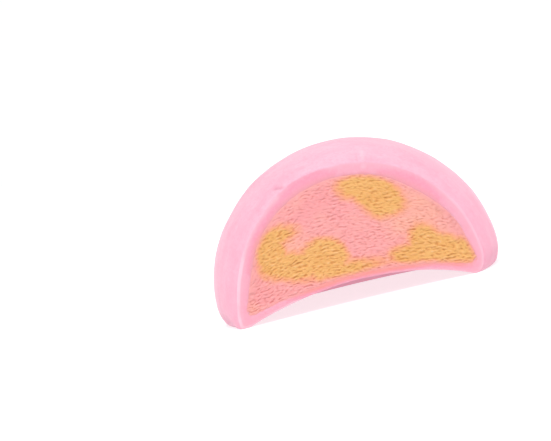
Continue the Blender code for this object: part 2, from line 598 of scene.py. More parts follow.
@dataclass
class DoughSkin:
    """The rice dough, one closed sheet with its cut edge towards the front."""

    shape: CakeShape
    wall: float = 2.0 * MM
    floor: float = 1.2 * MM
    # The hollow's lower corner, and how its right side differs from a turned one.
    hollow_foot: float = 23.8 * MM
    corner_flare: float = 0.75 * MM
    corner_lift: float = 1.3 * MM
    shoulder_in: float = 0.75 * MM
    shoulder_height: float = 17.0 * MM
    shoulder_width: float = 4.8 * MM
    hips_right: float = 0.3 * MM
    hips_height: float = 9.0 * MM
    hips_width: float = 3.5 * MM
    right_start: float = 4.0 * MM
    right_end: float = 12.0 * MM
    # The dough that the knife has pulled up, left of the top.
    pull: float = 0.5 * MM
    pull_across: float = -7.5 * MM
    pull_height: float = 21.9 * MM
    pull_reach: tuple[float, float, float] = (5.6 * MM, 4.0 * MM, 4.5 * MM)
    # The foot, which spreads by the cut, and the height at which the lumps start.
    spread_foot: float = 25.2 * MM
    spread_flare: float = 0.5 * MM
    spread_left: float = 1.0
    spread_right: float = 0.25
    spread_reach: float = 7.0 * MM
    spread_blend: float = 5.0 * MM
    calm_height: float = 0.8 * MM
    # The rounded cut edge, wider at the left corner and narrower where the dough is deep.
    rim_radius: float = 0.28 * MM
    rim_share: float = 0.12
    rim_wider: float = 0.6
    rim_narrower: float = 0.5
    # The cut face, and the depth of a crease that counts as deepest.
    face_swell: float = 0.06 * MM
    wave_cell: float = 1.6
    inner_dip: float = 0.22 * MM
    dip_power: int = 8
    wander: float = 0.5 * MM
    wander_cell: float = 1.5
    deep_fold: float = 0.3 * MM
    columns: int = 420
    outer_rows: int = 168
    face_rows: int = 9
    rim_rows: int = 5
    cavity_rows: int = 14

    def __post_init__(self) -> None:
        """Work out the outlines of the outside, of the spread foot and of the hollow."""
        shape = self.shape
        plain = Profile(shape.radius, shape.height, shape.foot_radius)
        spread = replace(
            plain,
            foot_radius=self.spread_foot,
            belly_height=2.2 * MM,
            flare=self.spread_flare,
            edge_power=0.6,
            rounding=0.15 * MM,
            arch_reach=24.1 * MM,
            arch_power=1.0,
        )
        self.outside = Section(plain)
        self.spread = Section(spread)
        self.hollow = Section(self.hollow_profile(0.0))
        self.around = np.arange(self.columns) * 2 / self.columns

    def hollow_profile(self, inset: float) -> Profile:
        """Outline of the hollow, drawn in by an inset.

        Its crown follows the outside at the wall's thickness, and its lower corner stands
        out and is lifted, so that the filling ends in a fairly sharp corner there.

        Args:
            inset: How far it is drawn in, below zero to push it out.

        Returns:
            The outline.
        """
        wall = self.wall + inset
        return Profile(
            radius=self.shape.radius - wall,
            height=self.shape.height - wall,
            foot_radius=self.hollow_foot - inset,
            edge_power=0.8,
            floor=self.floor + inset,
            flare=self.corner_flare,
            corner_lift=self.corner_lift,
            rounding=0.3 * MM,
        )

    def lean(self, points: Array) -> Array:
        """Draw the hollow's right shoulder in and move its hips to the right.

        Each move is a bell curve of height.

        Args:
            points: Places about the cake's axis.

        Returns:
            The moved places.
        """
        height = points[..., 2]
        rightness = smooth_step(self.right_start, self.right_end, points[..., 0])
        shoulder = bell(height, self.shoulder_height, self.shoulder_width)
        hips = bell(height, self.hips_height, self.hips_width)
        moved = points.copy()
        moved[..., 0] += self.hips_right * hips - self.shoulder_in * shoulder * rightness
        return moved

    def paired_rings(self, section: Section, depths: Array) -> Array:
        """Rings of another outline whose top, belly and foot pair with the outside's."""
        cut = self.shape.cut
        return section.rings(depths, self.around, (self.outside.marks(cut), section.marks(cut)))

    def hollow_rings(self, depths: Array) -> Array:
        """Rings of the hollow, paired with the outside's."""
        return self.lean(self.paired_rings(self.hollow, depths))

    def outside_rings(self, depths: Array) -> Array:
        """Rings of the outside. The foot spreads by the cut, most of all at the left corner.

        Args:
            depths: Distance of each ring behind the axis.

        Returns:
            The rings.
        """
        plain = self.outside.rings(depths, self.around)
        spread = self.paired_rings(self.spread, depths)
        near = 1 - smooth_step(0, self.spread_reach, depths - self.shape.cut)[:, None]
        rightness = smooth_step(-self.spread_blend, self.spread_blend, plain[..., 0])
        share = near * (self.spread_left + (self.spread_right - self.spread_left) * rightness)
        return plain + (spread - plain) * share[..., None]

    def lumps(self, points: Array) -> Array:
        """How far the dough stands proud at points: soft lumps and small dents.

        Three lattices of falling size and long waves beside the cut are added up, with a bell
        curve where the knife has pulled the dough up.

        Args:
            points: Places about the cake's axis.

        Returns:
            Distance along the outward normal, in metres.
        """
        away = (points - [self.pull_across, self.shape.cut, self.pull_height]) / self.pull_reach
        proud = self.pull * np.exp(-np.sum(away**2, axis=-1))
        for seed, cell, height in LUMPS:
            proud += height * MM * LatticeNoise(seed).sample(points, cell)
        return proud

    def fold_depth(self, points: Array) -> Array:
        """Depth of all the creases at points, below zero on the ridges."""
        return np.sum([fold.sink(points, self.outside, self.shape.cut) for fold in FOLDS], axis=0)

    def outer_grid(self) -> tuple[Array, Array]:
        """Rings of the outside from the cut to the back, with lumps and creases.

        Returns:
            The rings and the depth of the creases on them.
        """
        cut = self.shape.cut
        depths = np.append(cut, self.outside.depths(cut + self.rim_radius, self.outer_rows))
        grid = self.outside_rings(depths)
        creased = self.fold_depth(grid)
        free = smooth_step(0.0, self.calm_height, grid[..., 2])
        moved = grid + grid_normals(grid) * ((self.lumps(grid) - creased) * free)[..., None]
        moved[0, :, 1] = cut
        moved[..., 2] = np.maximum(moved[..., 2], 0)
        return moved, creased

    def face_grid(self, edge: Array, inner: Array) -> tuple[Array, Array]:
        """Rings of the cut face from the filling out to the rounded edge.

        A ring is a straight blend between the filling's outline and the edge. The dough
        swells in half a sine wave with noise on it, and dips behind the filling's edge.

        Args:
            edge: The sharp cut edge.
            inner: The hollow's outline at the cut.

        Returns:
            The rings and the share of the way in for each, from the rim's share to 1.
        """
        inward = inner - edge
        thickness = np.linalg.norm(inward, axis=-1, keepdims=True)
        start = edge + inward / thickness * self.rim_width(edge)[:, None]
        share = np.linspace(0, 1, self.face_rows)[:, None, None]
        grid = inner + (start - inner) * share
        waves = LatticeNoise(21).sample(grid, (self.wave_cell,) * 3)[..., None]
        swell = self.face_swell * (np.sin(math.pi * share) + 4 * share * (1 - share) * waves)
        grid = grid + np.array([0, 1, 0]) * (self.inner_dip * (1 - share) ** self.dip_power - swell)
        return grid, np.broadcast_to(1 - (1 - self.rim_share) * share[..., 0], grid.shape[:2])

    def rim_width(self, edge: Array) -> Array:
        """Width of the rounding on the cut face.

        Args:
            edge: The sharp cut edge.

        Returns:
            A width for each point of the edge.
        """
        left = smooth_step(-10 * MM, -13 * MM, edge[..., 0])
        deep = np.maximum(-self.pale_places(edge), 0)
        return self.rim_radius * (1 + self.rim_wider * left - self.rim_narrower * deep)

    def rim_grid(self, face_side: Array, edge: Array, outer_side: Array) -> Array:
        """Rings round the cut edge: a quadratic curve from the face to the outside.

        The curve leaves each side along that side, with the sharp edge as its control point.

        Args:
            face_side: Ring on the cut face.
            edge: The sharp edge.
            outer_side: Ring on the outside.

        Returns:
            The rings between the two sides.
        """
        t = np.linspace(0, 1, self.rim_rows + 2)[1:-1, None, None]
        return (1 - t) ** 2 * face_side + 2 * t * (1 - t) * edge + t**2 * outer_side

    def pale_places(self, ring: Array) -> Array:
        """Paleness of the dough round the cut edge, in soft lobes that wander a little.

        Args:
            ring: Places about the cake's axis.

        Returns:
            1 for pale dough to -1 for deep pink.
        """
        across, height = ring[..., 0], ring[..., 2]
        wander = self.wander * LatticeNoise(22).sample(ring, (self.wander_cell,) * 3)
        pale = smooth_step(-1.3 * MM, 1.1 * MM, depth_in(PALE_DOUGH, across, height) + wander)
        return pale - smooth_step(-1.2 * MM, 2.2 * MM, depth_in(DEEP_DOUGH, across, height) + wander)

    def warm_places(self, ring: Array) -> Array:
        """Orange that the filling lends the dough: next to the yellow and below.

        Args:
            ring: Places about the cake's axis.

        Returns:
            A share from 0 to 1 for each place.
        """
        across, height = ring[..., 0], ring[..., 2]
        level = np.zeros_like(across)
        marbling = CutFace(across, height, level, level).marbling()
        return np.maximum(marbling, smooth_step(-MM, MM, depth_in(WARM_DOUGH, across, height)))

    def build(self) -> bpy.types.Object:
        """Join the hollow, the cut face, the rim and the outside into one closed sheet.

        Returns:
            The dough, with its masks.
        """
        cut = self.shape.cut
        outer, outer_creased = self.outer_grid()
        edge, outside = outer[0], outer[1:]
        inner = self.hollow_rings(np.array([cut]))[0]
        face, way_in = self.face_grid(edge, inner)
        rim = self.rim_grid(face[-1], edge, outside[0])
        cavity = self.hollow_rings(self.hollow.depths(cut, self.cavity_rows))[:0:-1]
        grid = np.concatenate([cavity, face, rim, outside])
        rim_in = np.linspace(self.rim_share, 0, self.rim_rows + 2)[1:-1, None]
        rim_in = np.broadcast_to(rim_in, rim.shape[:2])
        crumb = np.concatenate([np.ones(cavity.shape[:2]), way_in, rim_in, np.zeros(outside.shape[:2])])
        last_depth = outside[-1, :, 1].mean()
        poles = [
            [0, self.hollow.widest, Profile.belly_height],
            [0, (last_depth + self.outside.widest) / 2, outside[-1, :, 2].mean()],
        ]
        index = point_numbers(grid)
        beside = np.roll(index, -1, axis=1)
        ends = [fan(index.size, beside[0], index[0]), fan(index.size + 1, index[-1], beside[-1])]
        points = np.concatenate([grid.reshape(-1, 3), poles]) + [0, self.shape.axis_y, 0]
        piece = mesh_object("mochi_dough", points, grid_faces(index, True), np.concatenate(ends))
        creased = np.concatenate([self.fold_depth(grid[: -len(outside)]), outer_creased[1:]])
        keep_mask(piece, Mask.CRUMB, crumb, [1, 0])
        keep_mask(piece, Mask.PALE, self.pale_places(grid), [0, 0])
        keep_mask(piece, Mask.WARMTH, self.warm_places(grid), [0, 0])
        keep_mask(piece, Mask.CREASE, creased / self.deep_fold, [0, 0])
        return piece


# --- The filling -----------------------------------------------------------------------------


@dataclass(frozen=True)
class Ripple:
    """One noise of the cut face: seed, width and height of a cell in millimetres, strength."""

    seed: int
    wide: float
    tall: float
    strength: float = 1.0


@dataclass
class CutFace:
    """Wrinkles and marbling of the filling's cut face.

    Attributes:
        across: Distance of each point to the right of the cake's axis.
        height: Height of each point above the foot.
        share_up: Share of the way from the underside to the crown.
        arch: Height of the underside below each point.
    """

    ARCH_FADE = 0.55
    TILT = 0.10
    FLATTEN = 0.012 / MM
    FLATTEN_FROM = 4 * MM
    PATCH_SIDEWAYS = Ripple(31, 2.6, 2.2, 0.4 * MM)
    PATCH_UPWARDS = Ripple(32, 2.4, 2.0, 0.35 * MM)
    PATCH_EDGE = Ripple(33, 1.2, 0.7, 0.45 * MM)
    WARM_CLOUDS = Ripple(34, 3.0, 2.0, 0.4)
    BEND_UPWARDS = Ripple(41, 1.7, 1.1, 0.45 * MM)
    BEND_SIDEWAYS = Ripple(42, 1.4, 1.2, 0.35 * MM)
    BROAD_CREASES = Ripple(43, 0.62, 0.35)
    SMALL_CREASES = Ripple(44, 0.38, 0.27)
    ROUGHNESS = Ripple(46, 4.0, 3.0, 0.4)
    SMALL_SWELLS = Ripple(47, 1.6, 0.8)
    BROAD_SWELLS = Ripple(48, 5.0, 4.0, 0.8)

    across: Array
    height: Array
    share_up: Array
    arch: Array

    def noise(self, ripple: Ripple, bend: tuple[Array, Array] | None = None) -> Array:
        """Noise over the face, times its strength.

        Args:
            ripple: The noise.
            bend: Other distances across and heights to read the noise at.

        Returns:
            One value for each point.
        """
        across, height = bend if bend is not None else (self.across, self.height)
        places = np.stack([across, np.zeros_like(across), height], axis=-1)
        cell = (ripple.wide, 1.0, ripple.tall)
        return ripple.strength * LatticeNoise(ripple.seed).sample(places, cell)

    def marbling(self) -> Array:
        """Share of yellow, 0 for pink to 1 for yellow.

        The places are first pushed about by noise, so that the lobes' outlines wander. The
        deepest lobe counts, and its edge is blended over about two millimetres.

        Returns:
            A share for each point.
        """
        across = self.across + self.noise(self.PATCH_SIDEWAYS)
        height = self.height + self.noise(self.PATCH_UPWARDS)
        depth = depth_in(YELLOW_FILLING, across, height) + self.noise(self.PATCH_EDGE)
        return smooth_step(-1.35 * MM, 1.15 * MM, depth)

    def warmth(self) -> Array:
        """Share of orange in the pink, most of all between the top and right patches."""
        near = smooth_step(-1.8 * MM, 1.8 * MM, depth_in(WARM_FILLING, self.across, self.height))
        return np.clip(0.9 * near + self.noise(self.WARM_CLOUDS), 0, 1)

    def creases(self) -> Array:
        """Wrinkles of the face, from below -1 on the crests to above 1 in the deepest creases.

        Short level dashes lie where drawn-out noise is high, smaller ones fill the gaps, and
        crests stand where the noise is low. They follow the arched underside lower down, but
        lie flatter towards the right. The yellow patches and the lower part are rougher.

        Returns:
            A value for each point.
        """
        arched = self.arch * (1 - self.ARCH_FADE * self.share_up)
        level = self.height - arched + self.TILT * self.across
        level -= self.FLATTEN * np.maximum(self.across - self.FLATTEN_FROM, 0) ** 2
        bend = (self.across + self.noise(self.BEND_SIDEWAYS), level + self.noise(self.BEND_UPWARDS))
        broad = self.noise(self.BROAD_CREASES, bend)
        small = self.noise(self.SMALL_CREASES, bend)
        creases = smooth_step(-0.08, 0.42, broad) + 0.45 * smooth_step(0.0, 0.45, small)
        crests = smooth_step(0.05, 0.45, -broad)
        rough = 0.70 + 0.18 * self.marbling() - 0.20 * (self.share_up - 0.5)
        return (creases - crests) * (rough + self.noise(self.ROUGHNESS))

    def swells(self) -> Array:
        """Low rounded swells between the creases, about -0.5 to 0.5."""
        return self.noise(self.SMALL_SWELLS) + self.noise(self.BROAD_SWELLS)


@dataclass
class Filling:
    """The ice cream, with a wrinkled and marbled cut face."""

    skin: DoughSkin
    tuck: float = 0.55 * MM
    clearance: float = 0.35 * MM
    crease_depth: float = 0.18 * MM
    crest_share: float = 0.4
    swell_height: float = 0.12 * MM
    edge_sink: float = 0.12 * MM
    stand_out: float = 0.04 * MM
    edge_round: float = 0.5 * MM
    back_bulge: float = 0.2 * MM
    columns: int = 310
    rows: int = 256
    hull_rows: int = 12

    def columns_at(self, section: Section, depths: Array) -> tuple[Array, Array, Array]:
        """Upright columns across slices of the filling: their place, foot and top.

        Args:
            section: Outline of the filling.
            depths: Distance of each slice behind the axis.

        Returns:
            Distance across, lowest height and highest height, one row for each slice.
        """
        spread = 2 * even_out(np.linspace(0, 1, self.columns + 1)) - 1
        across = np.sqrt(section.widest**2 - depths**2)[:, None] * spread
        radius = np.minimum(np.hypot(across, depths[:, None]), section.widest)
        return across, section.under_height(radius), section.crown_height(radius)

    def hull(self) -> Array:
        """Rings of the plain hull behind the cut face, over the top and back underneath.

        Returns:
            The rings, one row for each slice.
        """
        section = Section(self.skin.hollow_profile(self.clearance))
        depths = section.depths(self.skin.shape.cut + MM, self.hull_rows)
        across, low, high = self.columns_at(section, depths)
        depth = np.broadcast_to(depths[:, None], across.shape)
        over = np.stack([across, depth, high], axis=-1)
        under = np.stack([across, depth, low], axis=-1)[:, -2:0:-1]
        return np.concatenate([over, under], axis=1)

    def build(self) -> bpy.types.Object:
        """Build the cut face and the hull behind it as one closed mesh.

        The face is a grid of upright columns. The relief fades out towards the dough, where
        the face also sinks a little behind it.

        Returns:
            The filling, with its masks.
        """
        cut = self.skin.shape.cut
        section = Section(self.skin.hollow_profile(-self.tuck))
        across, low, high = (line[0] for line in self.columns_at(section, np.array([cut])))
        steep_top, steep_low = (np.hypot(1, np.gradient(line, across))[1:-1, None] for line in (high, low))
        share_up = np.linspace(0, 1, self.rows + 1)[None, :]
        foot, tall = low[1:-1, None], (high - low)[1:-1, None]
        height = foot + tall * share_up
        inside = np.minimum((1 - share_up) * tall / steep_top, share_up * tall / steep_low)
        plain = np.broadcast_to(across[1:-1, None], height.shape)
        leaned = self.skin.lean(np.stack([plain, np.full_like(plain, cut), height], axis=-1))
        surface = CutFace(leaned[..., 0], height, share_up, np.broadcast_to(foot, height.shape))
        creases = surface.creases()
        fade = smooth_step(0.1 * MM, 0.7 * MM, inside)
        relief = self.crease_depth * np.where(creases > 0, creases, self.crest_share * creases)
        out = (self.swell_height * surface.swells() - relief) * fade
        drop = (self.stand_out + self.edge_sink) * (1 - smooth_step(0, self.edge_round, inside))
        face = np.stack([surface.across, cut - (out + self.stand_out - drop), height], axis=-1)

        tips = np.stack([across, np.full_like(across, cut + self.edge_sink), low], axis=-1)[[0, -1]]
        hull = self.hull()
        back = np.array([[0, hull[-1, :, 1].mean() + self.back_bulge, hull[-1, :, 2].mean()]])
        face_index = point_numbers(face)
        left, right = face_index.size, face_index.size + 1
        border = np.concatenate([[left], face_index[:, -1], [right], face_index[::-1, 0]])
        sides = np.vstack([border, point_numbers(hull, right + 1)])
        last_ring = sides[-1]
        fans = [
            fan(left, face_index[0, :-1], face_index[0, 1:]),
            fan(right, face_index[-1, 1:], face_index[-1, :-1]),
            fan(last_ring[-1] + 1, last_ring, np.roll(last_ring, -1)),
        ]
        quads = np.concatenate([grid_faces(face_index, False)[:, ::-1], grid_faces(sides, True)])
        behind = self.skin.lean(np.vstack([tips, hull.reshape(-1, 3), back]))
        points = np.concatenate([face.reshape(-1, 3), behind]) + [0, self.skin.shape.axis_y, 0]
        piece = mesh_object("ice_cream_filling", points, quads, np.concatenate(fans))
        rest = np.zeros(len(behind))
        keep_mask(piece, Mask.MARBLING, surface.marbling(), rest)
        keep_mask(piece, Mask.WARMTH, surface.warmth(), rest)
        keep_mask(piece, Mask.CREASE, creases * fade, rest)
        keep_mask(piece, Mask.EDGE, 1 - smooth_step(0.3 * MM, 1.3 * MM, inside), rest + 1)
        return piece


# --- Shading ---------------------------------------------------------------------------------


def linear(red: int, green: int, blue: int) -> Colour:
    """Turn a screen colour of 0 to 255 into the linear colour that shaders use.

    Args:
        red: Red part.
        green: Green part.
        blue: Blue part.

    Returns:
        Red, green, blue and a full alpha.
    """
    parts = [c / 255 for c in (red, green, blue)]
    curved = [c / 12.92 if c <= 0.04045 else ((c + 0.055) / 1.055) ** 2.4 for c in parts]
    return (*curved, 1.0)


class NodeBench:
    """Short calls that lay out shader nodes in one tree."""

    def __init__(self, tree: bpy.types.NodeTree) -> None:
        """Keep the tree that the nodes go into."""
        self.tree = tree

    def node(self, kind: str, **settings: object) -> bpy.types.Node:
        """Add a node and set its properties.

        Args:
            kind: Blender's name for the kind of node.
            settings: Its properties by name.

        Returns:
            The node.
        """
        made = self.tree.nodes.new(kind)
        for name, value in settings.items():
            setattr(made, name, value)
        return made

    def feed(self, socket: Socket, value: object) -> None:
        """Link a socket into another, or set its value.

        Args:
            socket: The socket to feed.
            value: Another socket, or a plain value.
        """
        if isinstance(value, Socket):
            self.tree.links.new(value, socket)
        else:
            socket.default_value = value

    def math(self, operation: str, first: object, second: object, clamp: bool = False) -> Socket:
        """Work out one sum on two numbers.

        Args:
            operation: Blender's name for the sum.
            first: First number.
            second: Second number.
            clamp: Whether to keep the result within 0 and 1.

        Returns:
            The result.
        """
        made = self.node("ShaderNodeMath", operation=operation, use_clamp=clamp)
        self.feed(made.inputs[0], first)
        self.feed(made.inputs[1], second)
        return made.outputs[0]

    def times(self, first: object, second: object) -> Socket:
        """Multiply two numbers."""
        return self.math("MULTIPLY", first, second)

    def rescale(self, value: object, low: float, high: float, least: float = 0.0, most: float = 1.0) -> Socket:
        """Map a range of numbers smoothly onto another.

        Args:
            value: The number.
            low: Where the range starts.
            high: Where it ends.
            least: The result at and below the start.
            most: The result at and above the end.

        Returns:
            The result.
        """
        made = self.node("ShaderNodeMapRange", interpolation_type="SMOOTHSTEP")
        for socket, number in zip(made.inputs, (value, low, high, least, most)):
            self.feed(socket, number)
        return made.outputs[0]

    def mix(self, share: object, first: object, second: object, blend: str = "MIX") -> Socket:
        """Blend two colours by a share.

        Args:
            share: Share of the second colour.
            first: First colour.
            second: Second colour.
            blend: Blender's name for the way of blending.

        Returns:
            The blended colour.
        """
        made = self.node("ShaderNodeMix", data_type="RGBA", blend_type=blend)
        self.feed(made.inputs["Factor"], share)
        self.feed(made.inputs[6], first)
        self.feed(made.inputs[7], second)
        return made.outputs[2]

    def noise(self, place: object, cell: float, detail: float, roughness: float) -> Socket:
        """Noise from 0 to 1 whose blotches are about one cell across.

        Args:
            place: Where to read it.
            cell: Size of a cell.
            detail: Number of finer layers.
            roughness: Strength of each layer next to the last.

        Returns:
            The noise.
        """
        made = self.node("ShaderNodeTexNoise")
        self.feed(made.inputs["Vector"], place)
        made.inputs["Scale"].default_value = 1 / cell
        made.inputs["Detail"].default_value = detail
        made.inputs["Roughness"].default_value = roughness
        return made.outputs["Fac"]

    def stretched(self, place: object, stretch: tuple[float, float, float]) -> Socket:
        """Scale a place along each axis, so that a pattern on it is drawn out.

        Args:
            place: The place.
            stretch: Scale along each axis.

        Returns:
            The scaled place.
        """
        made = self.node("ShaderNodeMapping")
        self.feed(made.inputs["Vector"], place)
        made.inputs["Scale"].default_value = stretch
        return made.outputs[0]

    def axes(self, vector: object) -> tuple[Socket, ...]:
        """Split a vector into x, y and z.

        Args:
            vector: The vector.

        Returns:
            A socket for each.
        """
        made = self.node("ShaderNodeSeparateXYZ")
        self.feed(made.inputs[0], vector)
        return tuple(made.outputs)

    def mask(self, mask: Mask) -> Socket:
        """Read a mask kept on the mesh."""
        return self.node("ShaderNodeAttribute", attribute_name=mask.value).outputs["Fac"]


class GrainGroup:
    """Fine uneven grain that dough and ice cream share, as one node group."""

    NAME = "food_grain"
    PORE_SPACING = 0.55

    def build(self) -> bpy.types.NodeTree:
        """Make the group: inputs Cell and Pores, outputs Height, Tone and Pore.

        A pore is a soft dot in the middle of about a third of the cells of a larger pattern.

        Returns:
            The group.
        """
        group = bpy.data.node_groups.new(self.NAME, "ShaderNodeTree")
        face = group.interface
        face.new_socket("Cell", in_out="INPUT", socket_type="NodeSocketFloat").default_value = 0.5 * MM
        face.new_socket("Pores", in_out="INPUT", socket_type="NodeSocketFloat").default_value = 0.5
        for name in ("Height", "Tone", "Pore"):
            face.new_socket(name, in_out="OUTPUT", socket_type="NodeSocketFloat")
        bench = NodeBench(group)
        given = bench.node("NodeGroupInput").outputs
        place = bench.node("ShaderNodeTexCoord").outputs["Object"]
        scale = bench.math("DIVIDE", 1.0, given["Cell"])
        fine = bench.node("ShaderNodeTexNoise")
        bench.feed(fine.inputs["Vector"], place)
        bench.feed(fine.inputs["Scale"], scale)
        fine.inputs["Detail"].default_value = 3.0
        spots = bench.node("ShaderNodeTexVoronoi", feature="F1")
        bench.feed(spots.inputs["Vector"], place)
        bench.feed(spots.inputs["Scale"], bench.times(scale, self.PORE_SPACING))
        chance = bench.node("ShaderNodeSeparateColor")
        bench.feed(chance.inputs[0], spots.outputs["Color"])
        chosen = bench.rescale(chance.outputs[0], 0.62, 0.7)
        dot = bench.rescale(spots.outputs["Distance"], 0.10, 0.30, 1.0, 0.0)
        pore = bench.times(bench.times(dot, chosen), given["Pores"])
        sinks = bench.node("NodeGroupOutput").inputs
        bench.feed(sinks["Height"], bench.math("SUBTRACT", fine.outputs["Fac"], pore))
        bench.feed(sinks["Tone"], fine.outputs["Fac"])
        bench.feed(sinks["Pore"], pore)
        return group


class Blank:
    """A new material with its shader, its coordinates and the shared grain laid out."""

    def __init__(self, name: str, group: bpy.types.NodeTree, cell: float, pores: float) -> None:
        """Start the material.

        Args:
            name: Its name.
            group: The grain's node group.
            cell: Size of the grain.
            pores: Strength of the pores.
        """
        self.material = bpy.data.materials.new(name)
        self.material.use_nodes = True
        self.bench = NodeBench(self.material.node_tree)
        self.shader = self.material.node_tree.nodes["Principled BSDF"]
        self.place = self.bench.node("ShaderNodeTexCoord").outputs["Object"]
        grain = self.bench.node("ShaderNodeGroup", node_tree=group)
        grain.inputs["Cell"].default_value = cell
        grain.inputs["Pores"].default_value = pores
        self.grain = grain.outputs

    def roughen(self, strength: float, distance: float) -> None:
        """Let the grain stand out from the surface.

        Args:
            strength: Share of the relief that shows.
            distance: Height of the relief.
        """
        bump = self.bench.node("ShaderNodeBump")
        bump.inputs["Strength"].default_value = strength
        bump.inputs["Distance"].default_value = distance
        self.bench.feed(bump.inputs["Height"], self.grain["Height"])
        self.bench.feed(self.shader.inputs["Normal"], bump.outputs[0])

    def soften(self, weight: float, reach: tuple[float, float, float], scale: float, gloss: float) -> None:
        """Let light spread below the surface, and set how much of it the surface throws back.

        Args:
            weight: Share of the light that spreads.
            reach: How far red, green and blue spread next to each other.
            scale: How far the widest spreads.
            gloss: Level of the plain reflection.
        """
        self.shader.inputs["Subsurface Weight"].default_value = weight
        self.shader.inputs["Subsurface Radius"].default_value = reach
        self.shader.inputs["Subsurface Scale"].default_value = scale
        self.shader.inputs["Specular IOR Level"].default_value = gloss


